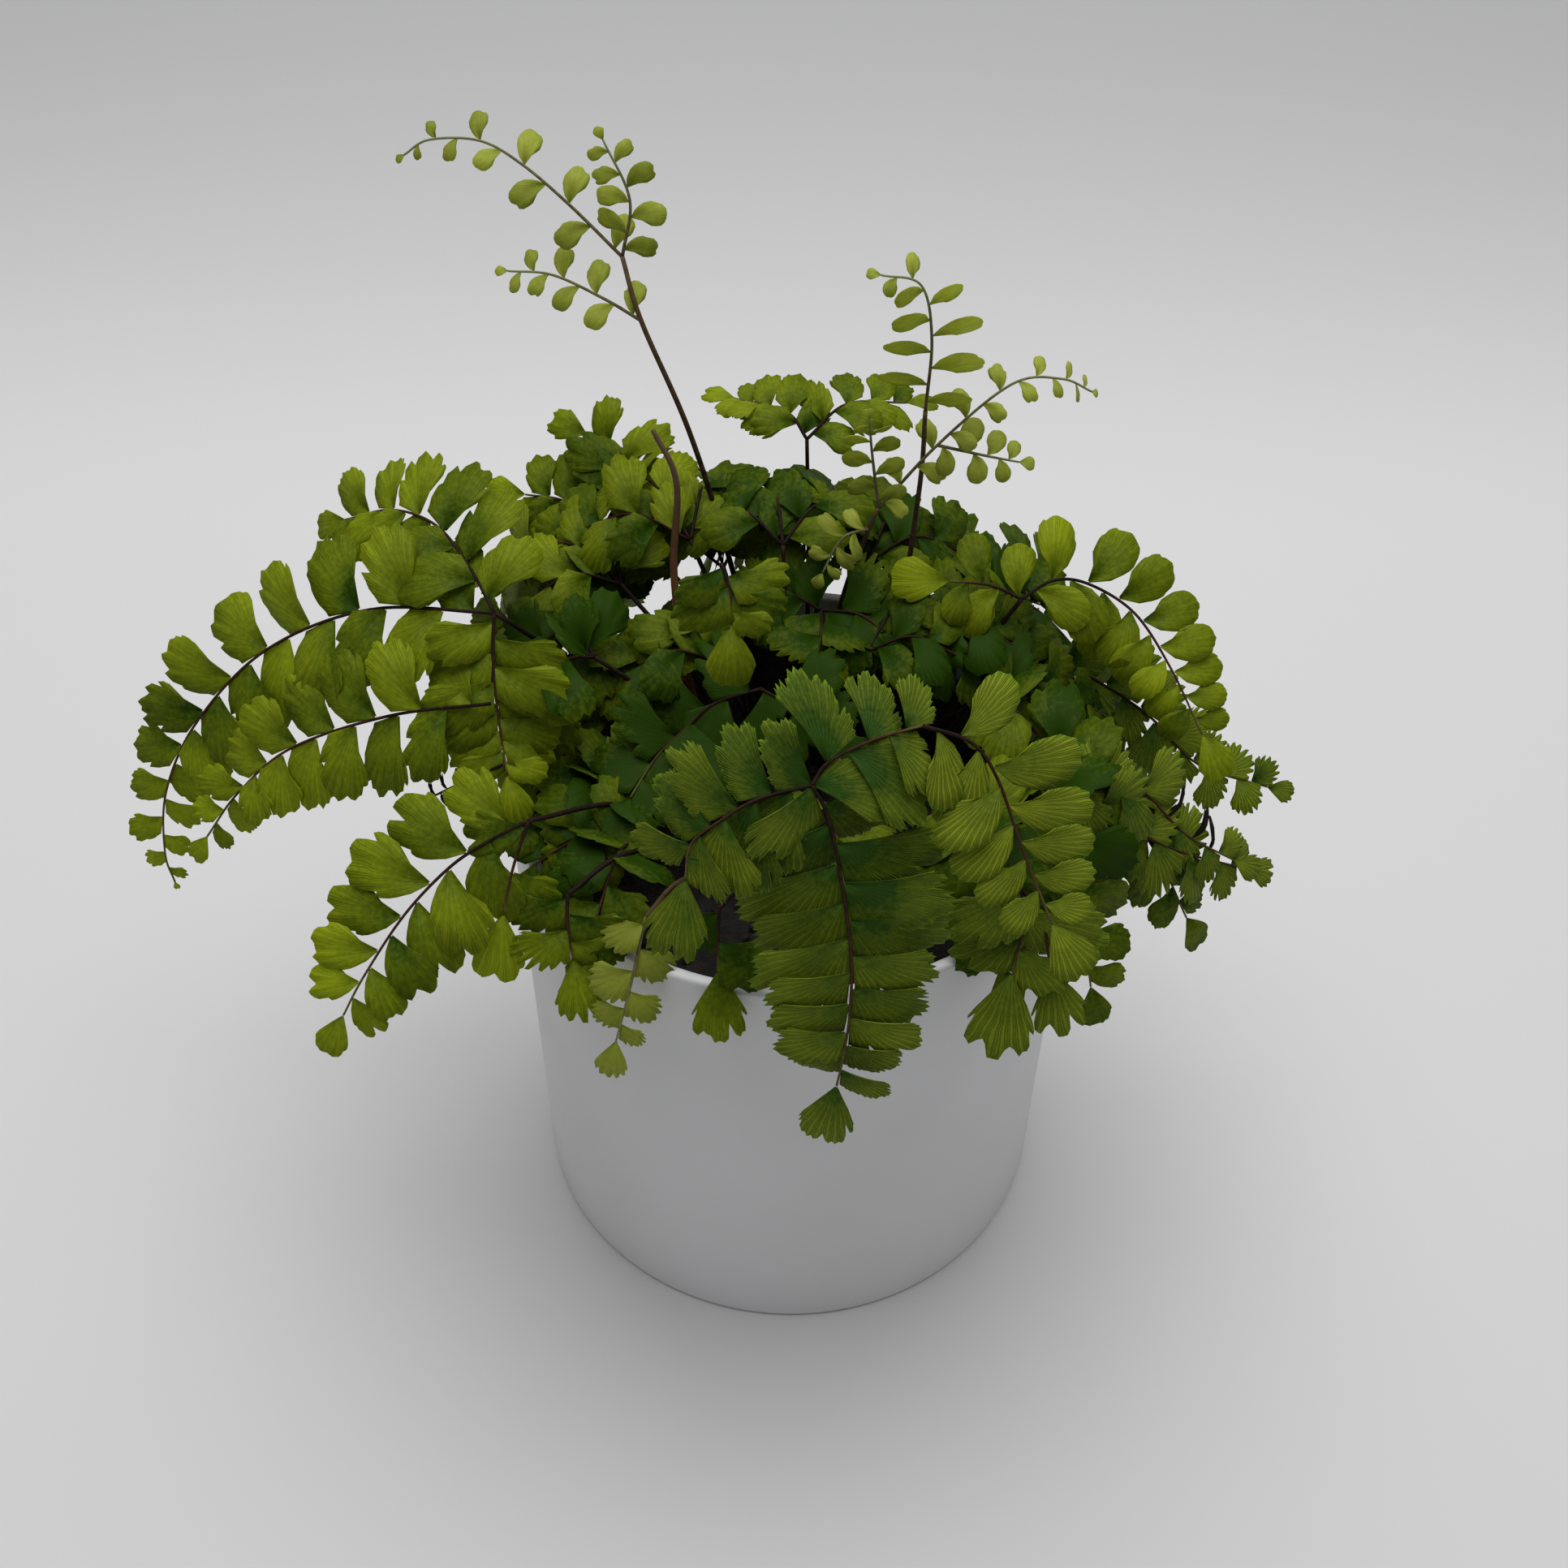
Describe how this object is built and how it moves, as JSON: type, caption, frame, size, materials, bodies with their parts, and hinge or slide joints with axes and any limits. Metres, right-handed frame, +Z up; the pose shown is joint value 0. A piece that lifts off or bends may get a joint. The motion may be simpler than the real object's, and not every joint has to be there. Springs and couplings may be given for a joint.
{
  "type": "potted fern",
  "caption": "Bushy maidenhair-type fern with forked arching fronds and a few tall young ones, growing in a plain white cylinder pot filled with dark soil.",
  "frame": {"origin": "middle of the flat underside of the pot, on the surface that it stands on", "axes": "+Z up along the pot's axis; -Y towards the front, where the large mature frond hangs over the rim; +X to the right seen from the front"},
  "size_m": [0.2697, 0.1983, 0.2528],
  "materials": {
    "pot": "smooth matt white glaze",
    "soil": "crumbly moist potting mix, almost black",
    "leaf_mature": "slightly rough leaf with fine fanned veins, deep green",
    "leaf_mid": "thin leaf, mid to yellow-green, lets light through",
    "leaf_young": "thin young leaf, lime green",
    "stalk": "smooth wiry stalk, reddish brown"
  },
  "bodies": {
    "root": {"pot": "pot", "soil": "soil", "stalk_unfurled": "stalk", "frond_front": "leaf_mature", "frond_tall_left": "leaf_young", "frond_tall_right": "leaf_young", "frond_young_right": "leaf_young", "frond_left": "leaf_mid", "frond_right": "leaf_mid", "frond_low_left": "leaf_mid", "frond_centre": "leaf_mid", "frond_right_low": "leaf_mature", "frond_front_right": "leaf_mature", "frond_rim_right": "leaf_mature", "frond_rim_torn": "leaf_young", "frond_rim_left": "leaf_mid", "frond_rim_middle": "leaf_mid", "frond_inner": "leaf_mature", "frond_inner_left": "leaf_mid", "frond_inner_back": "leaf_mid", "frond_back": "leaf_mid", "frond_back_left": "leaf_mid", "frond_side_left": "leaf_mid", "frond_side_left_low": "leaf_mid", "frond_back_left_upper": "leaf_mid", "frond_back_left_high": "leaf_mid", "frond_back_left_low": "leaf_mid", "frond_back_middle_high": "leaf_mid", "frond_back_middle_low": "leaf_mid", "frond_back_right_high": "leaf_mid", "frond_back_right_low": "leaf_mid", "frond_back_right_inner": "leaf_mid", "frond_side_right": "leaf_mid", "frond_rim_right_low": "leaf_mid", "frond_front_right_low": "leaf_mid", "frond_front_inner": "leaf_mid", "frond_front_left_low": "leaf_mid", "frond_heart_left": "leaf_mid", "frond_heart_right": "leaf_mid", "frond_rear_drape_left": "leaf_mid", "frond_rear_drape_right": "leaf_mid"}
  },
  "joints": []
}
